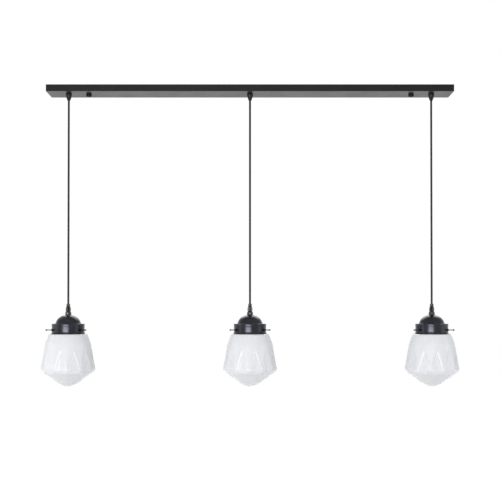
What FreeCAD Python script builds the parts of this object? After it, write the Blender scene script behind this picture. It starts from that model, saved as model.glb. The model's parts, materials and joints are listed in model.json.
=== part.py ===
import FreeCAD, Part
import math
import os
from FreeCAD import Vector

# Linear island pendant: a flat ceiling bar with three lamps on straight cords.
# Millimetres, +Z up. The origin is the centre of the bar on the ceiling plane,
# +X runs along the bar to the right and -Y faces the viewer.

# ---- ceiling bar ------------------------------------------------------------
bar_length = 1200.0
bar_width = 80.0
bar_height = 20.0
bar_sheet = 1.2
bar_corner_round = 2.0
bar_bottom_round = 1.0

# ---- where things hang, measured in from the bar's ends -----------------------
pendant_end_inset = 60.0
fixing_end_inset = 120.0

# ---- mounting brackets and their fasteners ----------------------------------
bracket_width = 26.0
bracket_sheet = 2.0
bracket_drop = 7.0
bracket_plate_half = 13.0
bracket_slope_run = 4.0
bracket_side_gap = 4.8
bracket_bend = 2.0
slot_toe_inset = 9.0
slot_width = 5.0
slot_length = 14.0
fixing_screw_d = 5.0
fixing_head_d = 9.5
fixing_head_height = 2.6
fixing_nut_across = 8.0
fixing_nut_height = 4.0
cap_nut_d = 16.0
cap_nut_face_d = 10.4
cap_nut_rim = 6.3
cap_nut_height = 8.5
cap_nut_grip = 5.0

# ---- cords and the grips they leave the bar by ------------------------------
cord_d = 6.0
cord_free = 605.7
cord_bend_length = 12.0
grip_base_d = 18.0
grip_length = 18.3
grip_rim = 2.2
grip_shoulder_drop = 10.0
grip_shoulder_inset = 1.6
grip_mouth_wall = 1.1
grip_stem_wall = 1.8
grip_nut_across = 14.0
grip_nut_height = 3.0
grip_stem_spare = 1.4

# ---- cord clamp on top of each lamp -----------------------------------------
clamp_bead_wall = 2.4
clamp_neck_wall = 1.9
clamp_belly_wall = 4.45
clamp_waist_wall = 3.8
clamp_foot_wall = 3.6
clamp_foot_flare = 1.2
clamp_foot_taper = 0.5
clamp_bead_height = 3.6
clamp_belly_drop = 15.5
clamp_waist_drop = 23.5
clamp_foot_height = 9.2
clamp_slot_room = 0.5
clamp_slot_top = 8.0
clamp_foot_sink = 1.0
clamp_screw_d = 4.0
clamp_screw_head_d = 5.4
clamp_screw_head_height = 1.8
clamp_screw_slot = 0.8
nipple_wall = 1.8

# ---- gallery, the spun cap that holds the glass -----------------------------
gallery_sheet = 1.0
dome_half_width = 36.5
dome_height = 26.8
dome_foot_round = 2.5
band_room = 5.7
band_height = 29.8
band_lip = 0.4
band_lip_height = 6.0
band_flare = 1.7
band_flare_height = 4.6
boss_d = 6.6
boss_stand = 3.4

# ---- thumb screws -----------------------------------------------------------
thumb_screw_angles = {"a": 210.0, "b": -30.0, "c": 90.0}
thumb_screw_d = 3.0
thumb_screw_drop = 17.9
thumb_screw_stand = 20.8
thumb_knob_d = 4.4
thumb_knob_length = 4.6
thumb_knob_round = 1.4

# ---- glass shade ------------------------------------------------------------
neck_d = 77.6
neck_lip_stand = 2.5
neck_lip_height = 4.6
glass_wall = 3.0
shoulder_gap = 0.6
shoulder_stand = 6.3
shoulder_round = 5.0
chest_stand = 10.7
chest_drop = 27.8
chest_round = 80.0
rim_d = 161.2
rim_drop = 108.1
rim_round = 15.0
belly_d = 52.0
belly_drop = 147.7
belly_round = 60.0
tip_d = 15.0
tip_drop = 154.8
tip_round = 40.0
rim_extra_glass = 4.2

# ---- facets pressed into the lower wall of the glass ------------------------
facet_count = 12
facet_turn = -78.0
facet_top_drop = 38.0
facet_base_drop = 103.1
facet_sink = 2.43
facet_under_slope = 0.62
facet_under_length = 21.0
facet_tip_width = 1.0
facet_stand_off = 0.12

# ---- lampholder and bulb ----------------------------------------------------
holder_neck_d = 16.0
holder_neck_height = 5.0
holder_shoulder = 6.0
holder_cap_height = 17.0
holder_roof = 2.0
holder_d = 39.0
holder_length = 50.0
holder_wall = 3.2
holder_mouth_bevel = 5.0
shell_d = 27.4
shell_wall = 0.5
shell_length = 26.0
contact_d = 8.0
contact_height = 0.6
bulb_tip_d = 9.0
bulb_tip_height = 2.0
bulb_cap_d = 26.0
bulb_cap_length = 25.0
bulb_collar_stand = 1.2
bulb_collar_height = 3.0
bulb_globe_d = 60.0
bulb_length = 108.0

# ---- wiring inside the bar --------------------------------------------------
block_x = 200.0
block_length = 22.0
block_width = 32.0
block_height = 13.0
pole_spacing = 10.0
pole_bore_d = 6.4
pole_screw_d = 4.0
pole_screw_inset = 5.5
pole_screw_sink = 0.8
pole_screw_slot = 0.8
pole_screw_pinch = 0.2
core_d = 2.0
core_spread = 2.0
core_tuck = 1.0
sheath_end_gap = 24.0
tail_side = 24.0
tail_headroom = 3.5
earth_stud_x = 262.0
earth_stud_y = -24.0
earth_stud_d = 4.0
earth_stud_height = 7.0
earth_ring_d = 9.0
earth_ring_sheet = 0.8
earth_barrel_length = 5.5
earth_barrel_wall = 0.6
earth_nut_across = 7.0
earth_nut_height = 3.2

# ---- clearances -------------------------------------------------------------
seat_gap = 0.3
thread_clearance = 0.05
cord_clearance = 0.2
hole_clearance = 0.25

# ---- diameters worked out from what passes through --------------------------
grip_stem_d = cord_d + 2 * (cord_clearance + grip_stem_wall)
nipple_d = cord_d + 2 * (cord_clearance + nipple_wall)
clamp_foot_top_d = nipple_d + 2 * clamp_foot_wall
clamp_foot_d = clamp_foot_top_d + 2 * clamp_foot_flare
neck_lip_d = neck_d + 2 * neck_lip_stand
band_d = neck_lip_d + 2 * (band_room + gallery_sheet)
shoulder_d = band_d + 2 * (band_flare + shoulder_stand)
chest_d = shoulder_d + 2 * chest_stand
thumb_screw_reach = band_d / 2 + thumb_screw_stand

# ---- heights and places worked out from the sizes above ---------------------
pendant_spacing = bar_length / 2 - pendant_end_inset
fixing_spacing = bar_length - 2 * fixing_end_inset
bracket_half = bar_width / 2 - bar_sheet - bracket_side_gap
slot_spacing = 2 * (bracket_half - slot_toe_inset)
underside_z = -bar_height
floor_z = underside_z + bar_sheet
grip_mouth_z = underside_z - grip_length
grip_stem_top_z = floor_z + grip_nut_height + grip_stem_spare
clamp_top_z = grip_mouth_z - cord_free
clamp_waist_z = clamp_top_z - clamp_waist_drop
dome_seat_z = clamp_waist_z - clamp_foot_height - clamp_foot_sink
clamp_screw_z = (clamp_waist_z + dome_seat_z) / 2
dome_crown_rise = dome_height * (1.0 - math.sqrt(1.0 - (clamp_foot_d / 2 / dome_half_width) ** 2))
flange_z = dome_seat_z + dome_crown_rise - dome_height
band_bottom_z = flange_z - band_height
thumb_screw_z = flange_z - thumb_screw_drop
shoulder_z = band_bottom_z - shoulder_gap
lip_under_z = thumb_screw_z + thumb_screw_d / 2 + seat_gap
lip_top_z = lip_under_z + neck_lip_height
holder_top_z = dome_seat_z - gallery_sheet
shell_top_z = holder_top_z - holder_cap_height - holder_roof
wall_lean = (rim_d - chest_d) / 2 / (rim_drop - chest_drop)
tail_rise = cord_d / 2 + tail_headroom
pendant_x = {"left": -pendant_spacing, "middle": 0.0, "right": pendant_spacing}
fixing_x = {"left": -fixing_spacing / 2, "right": fixing_spacing / 2}


# ---- making shapes ----------------------------------------------------------
def outline(points):
    """Closed wire through (across, up[, rounding]) points, with tangent arcs at rounded corners."""
    flat = [Vector(p[0], p[1], 0) for p in points]
    bends = []
    for i, point in enumerate(points):
        here = flat[i]
        rounding = point[2] if len(point) > 2 else 0.0
        if rounding == 0.0:
            bends.append((here, None, here))
            continue
        back = (flat[i - 1] - here).normalize()
        ahead = (flat[(i + 1) % len(flat)] - here).normalize()
        half = back.getAngle(ahead) / 2
        run = rounding / math.tan(half)
        middle = here + (back + ahead).normalize() * (rounding / math.sin(half) - rounding)
        bends.append((here + back * run, middle, here + ahead * run))
    edges = []
    for i, (start, middle, end) in enumerate(bends):
        following = bends[(i + 1) % len(bends)][0]
        meets = end.distanceToPoint(following) < 1e-6
        if middle is not None:
            edges.append(Part.Arc(start, middle, following if meets else end).toShape())
        if not meets:
            edges.append(Part.LineSegment(end, following).toShape())
    return Part.Wire(edges)


def turned(points):
    """Solid of revolution about Z from (radius, height[, rounding]) points."""
    solid = Part.Face(outline(points)).revolve(Vector(), Vector(0, 1, 0), 360)
    solid.rotate(Vector(), Vector(1, 0, 0), 90)
    return solid


def disc(radius, low, high, x=0.0, y=0.0):
    """Upright cylinder between two heights."""
    return Part.makeCylinder(radius, high - low, Vector(x, y, low))


def rod(radius, start, end):
    """Straight round bar between two points."""
    return Part.makeCylinder(radius, start.distanceToPoint(end), start, end - start)


def hexagon(across, low, high, x=0.0, y=0.0):
    """Upright hexagonal prism, across its flats."""
    corner = across / math.sqrt(3)
    turns = [math.radians(60 * i + 30) for i in range(7)]
    ring = [Vector(x + corner * math.cos(t), y + corner * math.sin(t), low) for t in turns]
    return Part.Face(Part.makePolygon(ring)).extrude(Vector(0, 0, high - low))


def tube(points, diameter):
    """Round cord along straight runs joined by tangent arcs, with its length and tightest radius."""
    edges = []
    radii = []
    start = points[0]
    for i in range(1, len(points) - 1):
        here = points[i]
        back = points[i - 1] - here
        ahead = points[i + 1] - here
        half = back.getAngle(ahead) / 2
        run = 0.45 * min(back.Length, ahead.Length)
        radius = run * math.tan(half)
        radii.append(radius)
        back.normalize()
        ahead.normalize()
        bisector = (back + ahead).normalize()
        middle = here + bisector * (radius / math.sin(half) - radius)
        edges.append(Part.LineSegment(start, here + back * run).toShape())
        edges.append(Part.Arc(here + back * run, middle, here + ahead * run).toShape())
        start = here + ahead * run
    edges.append(Part.LineSegment(start, points[-1]).toShape())
    path = Part.Wire(edges)
    section = Part.Wire(Part.makeCircle(diameter / 2, points[0], points[1] - points[0]))
    return path.makePipeShell([section], True, False), path.Length, min(radii)


def save(shape, node):
    """Write one sub-part."""
    shape.exportStep("parts/" + node + ".step")


def placed(shape, x):
    """Copy of a shape made at the origin, moved along the bar."""
    copy = shape.copy()
    copy.translate(Vector(x, 0, 0))
    return copy


# ---- ceiling bar and fixings ------------------------------------------------
def ceiling_bar():
    """Folded sheet tray, open at the top, with holes for the grips and the fixing screws."""
    tray = Part.makeBox(bar_length, bar_width, bar_height,
                        Vector(-bar_length / 2, -bar_width / 2, underside_z))
    upright = [e for e in tray.Edges if abs(e.tangentAt(e.FirstParameter).z) > 0.9]
    tray = tray.makeFillet(bar_corner_round, upright)
    low = [e for e in tray.Edges if e.BoundBox.ZMax < underside_z + 1e-3]
    tray = tray.makeFillet(bar_bottom_round, low)
    hollow = Part.makeBox(bar_length - 2 * bar_sheet, bar_width - 2 * bar_sheet, bar_height,
                          Vector(-bar_length / 2 + bar_sheet, -bar_width / 2 + bar_sheet, floor_z))
    inside = [e for e in hollow.Edges if abs(e.tangentAt(e.FirstParameter).z) > 0.9]
    tray = tray.cut(hollow.makeFillet(bar_corner_round - bar_sheet / 2, inside))
    for x in pendant_x.values():
        tray = tray.cut(disc(grip_stem_d / 2 + hole_clearance, underside_z - 1, floor_z + 1, x))
    for x in fixing_x.values():
        tray = tray.cut(disc(fixing_screw_d / 2 + hole_clearance, underside_z - 1, floor_z + 1, x))
    return tray


def bracket():
    """Joggled strap that is screwed to the ceiling and carries the fixing screw."""
    plate = bracket_plate_half
    slope = plate + bracket_slope_run
    toe = bracket_half
    sheet = bracket_sheet
    bend = bracket_bend
    shift = sheet * math.tan(math.atan2(bracket_drop, bracket_slope_run) / 2)
    upper = [(-toe, 0), (-slope, 0, bend), (-plate, -bracket_drop, bend),
             (plate, -bracket_drop, bend), (slope, 0, bend), (toe, 0)]
    lower = [(toe, -sheet), (slope + shift, -sheet, bend), (plate + shift, -bracket_drop - sheet, bend),
             (-plate - shift, -bracket_drop - sheet, bend), (-slope - shift, -sheet, bend), (-toe, -sheet)]
    strap = Part.Face(outline(upper + lower)).extrude(Vector(0, 0, bracket_width))
    strap.translate(Vector(0, 0, -bracket_width / 2))
    strap.rotate(Vector(), Vector(1, 0, 0), 90)
    strap.rotate(Vector(), Vector(0, 0, 1), 90)
    strap = strap.cut(disc(fixing_screw_d / 2 + thread_clearance, -bracket_drop - 2 * sheet, 0))
    straight = (slot_length - slot_width) / 2
    for y in (-slot_spacing / 2, slot_spacing / 2):
        slot = Part.makeBox(2 * straight, slot_width, 3 * sheet,
                            Vector(-straight, y - slot_width / 2, -2 * sheet))
        for x in (-straight, straight):
            slot = slot.fuse(disc(slot_width / 2, -2 * sheet, sheet, x, y))
        strap = strap.cut(slot)
    return strap


def fixing_screw():
    """Pan-head screw hanging from the bracket through the bar."""
    seat = -bracket_drop
    radius = fixing_screw_d / 2
    return turned([(0, seat + fixing_head_height), (fixing_head_d / 2, seat + fixing_head_height, 1.2),
                   (fixing_head_d / 2, seat), (radius, seat),
                   (radius, underside_z - cap_nut_grip), (0, underside_z - cap_nut_grip)])


def fixing_nut(x):
    """Hexagon nut that locks the fixing screw under its bracket."""
    top = -bracket_drop - bracket_sheet
    nut = hexagon(fixing_nut_across, top - fixing_nut_height, top, x)
    return nut.cut(disc(fixing_screw_d / 2 + thread_clearance, top - 9, top + 1, x))


def cap_nut():
    """Low domed cap nut under the bar, with a blind bore."""
    radius = cap_nut_d / 2
    bottom = underside_z - cap_nut_height
    bore = fixing_screw_d / 2 + thread_clearance
    bore_end = underside_z - cap_nut_grip - seat_gap
    return turned([(bore, underside_z), (radius - 0.5, underside_z), (radius, underside_z - 0.5),
                   (radius, underside_z - cap_nut_rim, 1.5), (cap_nut_face_d / 2, bottom, 6),
                   (0, bottom), (0, bore_end), (bore, bore_end)])


# ---- cord grips and cords ---------------------------------------------------
def cord_grip():
    """Bullet-shaped grip under the bar, with a threaded stem and a bore for the cord."""
    base = grip_base_d / 2
    bore = cord_d / 2 + cord_clearance
    mouth = bore + grip_mouth_wall
    stem = grip_stem_d / 2
    body = turned([(bore, grip_stem_top_z), (stem, grip_stem_top_z, 0.6), (stem, underside_z),
                   (base, underside_z, 0.5), (base, underside_z - grip_rim, 0.6),
                   (base - grip_shoulder_inset, underside_z - grip_shoulder_drop, 14),
                   (mouth, grip_mouth_z, 0.6), (bore, grip_mouth_z)])
    flare = Part.makeCone(bore + 0.5, bore, 0.8, Vector(0, 0, grip_mouth_z))
    return body.cut(flare)


def grip_nut(x):
    """Thin hexagon nut that holds a grip in the bar."""
    nut = hexagon(grip_nut_across, floor_z, floor_z + grip_nut_height, x)
    return nut.cut(disc(grip_stem_d / 2 + thread_clearance, floor_z - 1, floor_z + 9, x))


def cord_bend():
    """Top of the hanging cord, where it flexes as the lamp swings."""
    return disc(cord_d / 2, grip_mouth_z - cord_bend_length, grip_mouth_z)


def hanging_cord():
    """Straight cord from below its flexing top to the lampholder."""
    return disc(cord_d / 2, holder_top_z - holder_neck_height, grip_mouth_z - cord_bend_length)


def tail_routes():
    """Points of each cord's end inside the bar, from its grip to its side of the terminal block."""
    lie_z = floor_z + cord_d / 2 + seat_gap
    left_face = block_x - block_length / 2
    right_face = block_x + block_length / 2
    entry_z = floor_z + block_height / 2
    upper_z = entry_z + core_spread / 2 + core_d / 2
    left, middle, right = pendant_x["left"], pendant_x["middle"], pendant_x["right"]
    away = (-tail_rise - grip_stem_top_z) / 0.45
    return {
        "left": [Vector(left, 0, grip_mouth_z), Vector(left, 0, -tail_rise),
                 Vector(left + away * 0.9, away * 0.43, -tail_rise),
                 Vector(left + 36, tail_side - 3, (lie_z - tail_rise) / 2),
                 Vector(left + 66, tail_side, lie_z), Vector(left_face - 110, tail_side, lie_z),
                 Vector(left_face - 60, 14, upper_z - 1), Vector(left_face - sheath_end_gap, 8, upper_z)],
        "middle": [Vector(middle, 0, grip_mouth_z), Vector(middle, 0, -tail_rise),
                   Vector(middle + away * 0.94, -away * 0.34, -tail_rise),
                   Vector(middle + 42, -12, (lie_z - tail_rise) / 2 - 1.5),
                   Vector(middle + 84, -13, lie_z), Vector(left_face - 60, -11, lie_z + 0.1),
                   Vector(left_face - sheath_end_gap, -8, lie_z + 0.4)],
        "right": [Vector(right, 0, grip_mouth_z), Vector(right, 0, -tail_rise),
                  Vector(right - away * 0.9, away * 0.43, -tail_rise),
                  Vector(right - 36, tail_side - 3, (lie_z - tail_rise) / 2),
                  Vector(right - 66, tail_side, lie_z), Vector(right_face + 110, tail_side, lie_z),
                  Vector(right_face + 60, 12, lie_z + 1), Vector(right_face + sheath_end_gap, 4, entry_z)],
    }


# ---- terminal block ---------------------------------------------------------
def pole_y(pole):
    """Sideways place of one of the three poles."""
    return (pole - 1) * pole_spacing


def screw_places():
    """Two screws on each pole."""
    reach = block_length / 2 - pole_screw_inset
    return [(block_x + side * reach, pole_y(pole)) for pole in range(3) for side in (-1, 1)]


def terminal_block():
    """Three-pole block on the floor of the bar, bored through for the wires."""
    top = floor_z + block_height
    block = Part.makeBox(block_length, block_width, block_height,
                         Vector(block_x - block_length / 2, -block_width / 2, floor_z))
    upright = [e for e in block.Edges if abs(e.tangentAt(e.FirstParameter).z) > 0.9]
    block = block.makeFillet(1.5, upright)
    middle_z = floor_z + block_height / 2
    for pole in range(3):
        start = Vector(block_x - block_length / 2 - 1, pole_y(pole), middle_z)
        end = Vector(block_x + block_length / 2 + 1, pole_y(pole), middle_z)
        block = block.cut(rod(pole_bore_d / 2, start, end))
    for x, y in screw_places():
        block = block.cut(disc(pole_screw_d / 2 + thread_clearance, middle_z, top + 1, x, y))
    return block


def terminal_screws():
    """Slotted clamping screws of the terminal block."""
    foot = floor_z + block_height / 2 + core_spread / 2 + core_d + pole_screw_pinch
    head = floor_z + block_height - pole_screw_sink
    notch = pole_screw_slot
    screws = []
    for x, y in screw_places():
        screw = disc(pole_screw_d / 2, foot, head, x, y)
        corner = Vector(x - notch / 2, y - pole_screw_d, head - notch)
        slot = Part.makeBox(notch, 2 * pole_screw_d, 2 * notch, corner)
        screws.append(screw.cut(slot))
    return Part.makeCompound(screws)


def pole_wires(routes, pole):
    """Stripped cores of one pole, from the end of each cord's sheath into the terminal block."""
    middle_z = floor_z + block_height / 2
    wires = []
    for name, side, level in (("left", -1, 1), ("middle", -1, -1), ("right", 1, 0)):
        before, sheath = routes[name][-2:]
        tuck = (before - sheath).normalize() * core_tuck
        start = sheath + tuck + Vector(0, (pole - 1) * core_spread, 0)
        lift = level * (core_spread / 2 + core_d / 4)
        end = Vector(block_x + side * (block_length / 2 - core_d), pole_y(pole), middle_z + lift)
        wires.append(rod(core_d / 2, start, end))
    return wires


def earth_lead():
    """Wire from the earth pole to a ring on the earth stud."""
    middle_z = floor_z + block_height / 2
    lie_z = floor_z + core_d / 2 + seat_gap
    face = block_x + block_length / 2
    low = middle_z - core_d - 0.1
    barrel_end = Vector(earth_stud_x - earth_ring_d / 2 + 0.4, earth_stud_y, lie_z)
    points = [Vector(face - core_d, pole_y(0), low), Vector(face + 10, pole_y(0), low),
              Vector(face + 22, pole_y(0) - 5, (low + lie_z) / 2),
              Vector(face + 32, earth_stud_y + 3, lie_z), barrel_end]
    wire = tube(points, core_d)[0]
    ring = disc(earth_ring_d / 2, floor_z, floor_z + earth_ring_sheet, earth_stud_x, earth_stud_y)
    hole = disc(earth_stud_d / 2 + hole_clearance, floor_z - 1, floor_z + 9, earth_stud_x, earth_stud_y)
    barrel = rod(core_d / 2 + earth_barrel_wall, barrel_end - Vector(earth_barrel_length, 0, 0), barrel_end)
    under = Part.makeBox(30, 20, 5, Vector(earth_stud_x - 20, earth_stud_y - 10, floor_z - 5))
    return wire.fuse([ring, barrel]).cut(hole).cut(under)


def earth_stud():
    """Stud welded to the floor of the bar."""
    return disc(earth_stud_d / 2, floor_z, floor_z + earth_stud_height, earth_stud_x, earth_stud_y)


def earth_nut():
    """Hexagon nut on the earth stud, over the ring."""
    low = floor_z + earth_ring_sheet
    nut = hexagon(earth_nut_across, low, low + earth_nut_height, earth_stud_x, earth_stud_y)
    return nut.cut(disc(earth_stud_d / 2 + thread_clearance, low - 1, low + 9, earth_stud_x, earth_stud_y))


# ---- cord clamp -------------------------------------------------------------
def cord_clamp():
    """Turned clamp whose two legs show the cord between them, on a short drum foot."""
    bore = cord_d / 2
    top = clamp_top_z
    nipple_bore = nipple_d / 2 + thread_clearance
    body = turned([(bore, top), (bore + clamp_bead_wall, top, 1.2),
                   (bore + clamp_bead_wall, top - clamp_bead_height, 1.0),
                   (bore + clamp_neck_wall, top - clamp_bead_height - 1.6, 2),
                   (bore + clamp_belly_wall + 0.3, top - clamp_belly_drop, 16),
                   (bore + clamp_waist_wall, clamp_waist_z, 2),
                   (clamp_foot_top_d / 2, clamp_waist_z - 1.6, 1),
                   (clamp_foot_top_d / 2 + clamp_foot_taper, dome_seat_z + 2, 2),
                   (clamp_foot_d / 2, dome_seat_z), (nipple_bore, dome_seat_z),
                   (nipple_bore, clamp_waist_z - clamp_foot_sink),
                   (bore, clamp_waist_z - clamp_foot_sink)])
    half_slot = bore + clamp_slot_room
    window = Part.makeBox(2 * half_slot, clamp_foot_d, clamp_waist_drop - clamp_slot_top,
                          Vector(-half_slot, -clamp_foot_d / 2, clamp_waist_z))
    ends = [e for e in window.Edges if abs(e.tangentAt(e.FirstParameter).y) > 0.9]
    body = body.cut(window.makeFillet(half_slot - 0.2, ends))
    hole = rod(clamp_screw_d / 2 + thread_clearance, Vector(0, 0, clamp_screw_z),
               Vector(0, -clamp_foot_d, clamp_screw_z))
    return body.cut(hole)


def clamp_screw():
    """Cheese-head screw through the foot of the clamp, bearing on the nipple."""
    z = clamp_screw_z
    seat = clamp_foot_top_d / 2 + clamp_foot_taper
    notch = clamp_screw_slot
    shank = rod(clamp_screw_d / 2, Vector(0, -nipple_d / 2 - seat_gap, z), Vector(0, -seat, z))
    head = rod(clamp_screw_head_d / 2, Vector(0, -seat, z), Vector(0, -seat - clamp_screw_head_height, z))
    rim = [e for e in head.Edges if e.BoundBox.YMax < -seat - clamp_screw_head_height + 1e-3]
    head = head.makeFillet(0.5, rim)
    slot = Part.makeBox(2 * clamp_screw_head_d, notch, notch,
                        Vector(-clamp_screw_head_d, -seat - clamp_screw_head_height, z - notch / 2))
    return shank.fuse(head).cut(slot)


def nipple():
    """Threaded tube that joins clamp, gallery and lampholder, with the cord inside it."""
    top = clamp_waist_z - clamp_foot_sink - seat_gap
    bottom = holder_top_z - holder_neck_height
    return disc(nipple_d / 2, bottom, top).cut(disc(cord_d / 2 + cord_clearance, bottom - 1, top + 1))


# ---- gallery and thumb screws -----------------------------------------------
def dome_edge(shrink, start_radius, end_radius):
    """Arc of the dome's half ellipse between two radii, shrunk by the sheet."""
    across = dome_half_width - shrink
    rise = dome_height - shrink
    curve = Part.Ellipse(Vector(0, flange_z, 0), across, rise)
    first = math.acos(end_radius / across)
    last = math.acos(start_radius / across)
    return Part.ArcOfEllipse(curve, first, last).toShape()


def gallery():
    """Spun cap: dome, step and band with a flared rim, and a boss for each thumb screw."""
    sheet = gallery_sheet
    hole = nipple_d / 2 + hole_clearance
    seat = clamp_foot_d / 2
    band = band_d / 2
    foot = dome_half_width - 0.6
    outside = dome_edge(0.0, seat, foot)
    inside = dome_edge(sheet, seat - 1.0, foot - sheet)
    out_low, out_high = outside.Vertexes[0].Point, outside.Vertexes[1].Point
    in_low, in_high = inside.Vertexes[0].Point, inside.Vertexes[1].Point
    crown = [in_high, Vector(hole, in_high.y, 0), Vector(hole, out_high.y, 0), out_high]
    skirt = [out_low, Vector(foot + dome_foot_round, flange_z, 0),
             Vector(band + band_lip - 1.5, flange_z, 0), Vector(band + band_lip, flange_z - 1.5, 0),
             Vector(band + band_lip, flange_z - band_lip_height + 0.6, 0),
             Vector(band, flange_z - band_lip_height - 0.6, 0),
             Vector(band, band_bottom_z + band_flare_height, 0),
             Vector(band + band_flare, band_bottom_z + 0.8, 0), Vector(band + band_flare, band_bottom_z, 0),
             Vector(band + band_flare - sheet, band_bottom_z, 0),
             Vector(band - sheet, band_bottom_z + band_flare_height, 0),
             Vector(band - sheet, flange_z - sheet, 0),
             Vector(foot + dome_foot_round - sheet, flange_z - sheet, 0), in_low]
    edges = [outside, inside]
    for chain in (crown, skirt):
        for a, b in zip(chain, chain[1:]):
            edges.append(Part.LineSegment(a, b).toShape())
    wire = Part.Wire(Part.__sortEdges__(edges))
    shell = Part.Face(wire).revolve(Vector(), Vector(0, 1, 0), 360)
    shell.rotate(Vector(), Vector(1, 0, 0), 90)
    for angle in thumb_screw_angles.values():
        shell = shell.fuse(along(angle, boss_d / 2, band - sheet - 1.6, band + boss_stand))
    for angle in thumb_screw_angles.values():
        shell = shell.cut(along(angle, thumb_screw_d / 2 + thread_clearance, band - 9, band + 9))
    return shell


def along(angle, radius, near, far):
    """Rod pointing out from the lamp's axis at the height of the thumb screws."""
    way = Vector(math.cos(math.radians(angle)), math.sin(math.radians(angle)), 0)
    level = Vector(0, 0, thumb_screw_z)
    return rod(radius, level + way * near, level + way * far)


def thumb_screw(angle):
    """Screw under the lip of the glass, with a small round knob."""
    tip = neck_d / 2 + seat_gap
    knob_start = thumb_screw_reach - thumb_knob_length
    shank = along(angle, thumb_screw_d / 2, tip, thumb_screw_reach - thumb_knob_length / 2)
    knob = along(angle, thumb_knob_d / 2, knob_start, thumb_screw_reach)
    knob = knob.makeFillet(thumb_knob_round, [e for e in knob.Edges if e.Length > thumb_knob_d * 3])
    return shank.fuse(knob)


# ---- glass shade ------------------------------------------------------------
def shade_blank():
    """Glass before its facets: neck with a lip, shoulder, flaring wall, rim and shallow cone."""
    wall = glass_wall
    cone = math.atan2(belly_drop - rim_drop, (rim_d - belly_d) / 2)
    foot = math.atan2(tip_drop - belly_drop, (belly_d - tip_d) / 2)
    mitre = (cone + foot) / 2
    return turned([
        (neck_d / 2 - wall, lip_top_z, 0.8), (neck_lip_d / 2, lip_top_z, 1.2),
        (neck_lip_d / 2, lip_under_z, 1.2), (neck_d / 2, lip_under_z, 0.8),
        (neck_d / 2, shoulder_z, 1.5), (shoulder_d / 2, shoulder_z, shoulder_round),
        (chest_d / 2, shoulder_z - chest_drop, chest_round),
        (rim_d / 2, shoulder_z - rim_drop, rim_round),
        (belly_d / 2, shoulder_z - belly_drop, belly_round),
        (tip_d / 2, shoulder_z - tip_drop, tip_round), (0, shoulder_z - tip_drop),
        (0, shoulder_z - tip_drop + wall),
        (tip_d / 2 - 0.5, shoulder_z - tip_drop + wall, tip_round - wall),
        (belly_d / 2 - wall * math.sin(mitre), shoulder_z - belly_drop + wall * math.cos(mitre),
         belly_round - wall),
        (rim_d / 2 - wall - rim_extra_glass, shoulder_z - rim_drop, rim_round),
        (chest_d / 2 - wall, shoulder_z - chest_drop, chest_round - wall),
        (shoulder_d / 2 - wall * 0.7, shoulder_z - wall, shoulder_round - wall),
        (neck_d / 2 - wall, shoulder_z - wall, 1.5 + wall)])


def facet_ring(z, half, tip):
    """Corners of a ring of facet bases: two at each side of every ridge."""
    corner = half / math.cos(math.pi / facet_count)
    ring = []
    for i in range(facet_count):
        ridge = math.radians(facet_turn + 360.0 / facet_count * (i + 0.5))
        across = Vector(-math.sin(ridge), math.cos(ridge), 0)
        point = Vector(math.cos(ridge) * corner, math.sin(ridge) * corner, z)
        ring.append((point - across * (tip / 2), point + across * (tip / 2)))
    return ring


def facet_former():
    """Solid whose flat triangles and triangular cone patches shape the lower wall."""
    top_z = shoulder_z - facet_top_drop
    base_z = shoulder_z - facet_base_drop
    under_z = base_z - facet_under_length
    top_radius = chest_d / 2 + wall_lean * (facet_top_drop - chest_drop) + facet_stand_off
    base_half = chest_d / 2 + wall_lean * (facet_base_drop - chest_drop) - facet_sink
    base = facet_ring(base_z, base_half, facet_tip_width)
    under_half = base_half - facet_under_slope * facet_under_length
    under = facet_ring(under_z, under_half, facet_tip_width)
    nick = math.asin(facet_tip_width / 2 / top_radius)
    faces, top_edges = [], []
    for i in range(facet_count):
        middle = math.radians(facet_turn + 360.0 / facet_count * i)
        after = math.radians(facet_turn + 360.0 / facet_count * (i + 1))

        def on_top(angle):
            return Vector(math.cos(angle) * top_radius, math.sin(angle) * top_radius, top_z)

        before_ridge, ridge_end = base[i - 1][1], base[i][0]
        tip_low, tip_high = on_top(middle - nick), on_top(middle + nick)
        faces.append(Part.Face(Part.makePolygon([tip_low, tip_high, ridge_end, before_ridge, tip_low])))
        arc = Part.Arc(tip_high, on_top((middle + after) / 2), on_top(after - nick)).toShape()
        ridge = Part.LineSegment(base[i][0], base[i][1]).toShape()
        faces.append(Part.makeRuledSurface(arc, ridge))
        top_edges += [Part.LineSegment(tip_low, tip_high).toShape(), arc]
        low_start, low_end = under[i - 1][1], under[i][0]
        flat = [before_ridge, ridge_end, low_end, low_start, before_ridge]
        strip = [base[i][0], base[i][1], under[i][1], under[i][0], base[i][0]]
        faces += [Part.Face(Part.makePolygon(flat)), Part.Face(Part.makePolygon(strip))]
    faces.append(Part.Face(Part.Wire(Part.__sortEdges__(top_edges))))
    floor = [point for pair in under for point in pair]
    faces.append(Part.Face(Part.makePolygon(floor + floor[:1])))
    shell = Part.makeShell(faces)
    shell.sewShape()
    return Part.makeSolid(shell), top_z, under_z


def shade():
    """Opal glass with its facets cut."""
    former, top_z, under_z = facet_former()
    if former.Volume < 0:
        former.reverse()
    reach = rim_d / 2 + 5
    cutter = disc(reach, under_z, top_z).cut(former)
    return shade_blank().cut(cutter)


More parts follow.
